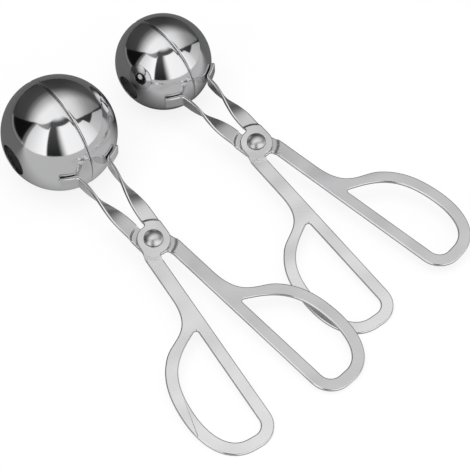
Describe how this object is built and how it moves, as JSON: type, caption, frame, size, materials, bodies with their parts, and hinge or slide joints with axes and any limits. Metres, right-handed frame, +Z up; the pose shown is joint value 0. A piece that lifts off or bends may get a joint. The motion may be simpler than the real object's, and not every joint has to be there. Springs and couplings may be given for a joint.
{
  "type": "meatball tongs",
  "caption": "Scissor tongs of stainless steel with half-ball cups that close into a ball and flat finger loops, a large and a small pair lying side by side.",
  "frame": {"origin": "centre of the overall box, at the height of the table that the set lies on", "axes": "+X from the balls to the finger loops along the large pair, +Y from the large pair to the small pair, +Z up from the table"},
  "size_m": [0.1996, 0.1558, 0.051],
  "materials": {
    "satin_steel": "stamped stainless sheet, tumbled to a light grey satin with bright edges",
    "polished_steel": "drawn stainless shell, polished to a mirror",
    "rivet_steel": "domed stainless rivet, polished"
  },
  "bodies": {
    "small_lower": {"small_lower_lever": "satin_steel", "small_left_cup": "polished_steel", "small_rivet": "rivet_steel"},
    "small_upper": {"small_upper_lever": "satin_steel", "small_right_cup": "polished_steel"},
    "large_upper": {"large_upper_lever": "satin_steel", "large_right_cup": "polished_steel", "large_rivet": "rivet_steel"},
    "large_lower": {"large_lower_lever": "satin_steel", "large_left_cup": "polished_steel"}
  },
  "joints": [
    {"name": "small_opening", "type": "hinge", "parent": "small_lower", "child": "small_upper", "pos_m": [-0.01645, 0.0311, 0.0151], "axis": [-0.1188, 0.0953, -0.9883], "range_deg": [0, 60]},
    {"name": "large_lift", "type": "slide", "parent": "small_lower", "child": "large_upper", "axis": [0, 0, 1], "range_m": [0, 0.06]},
    {"name": "large_opening", "type": "hinge", "parent": "large_upper", "child": "large_lower", "pos_m": [-0.00055, -0.03724, 0.01581], "axis": [0.1406, -0.0349, 0.9895], "range_deg": [0, 60]}
  ]
}
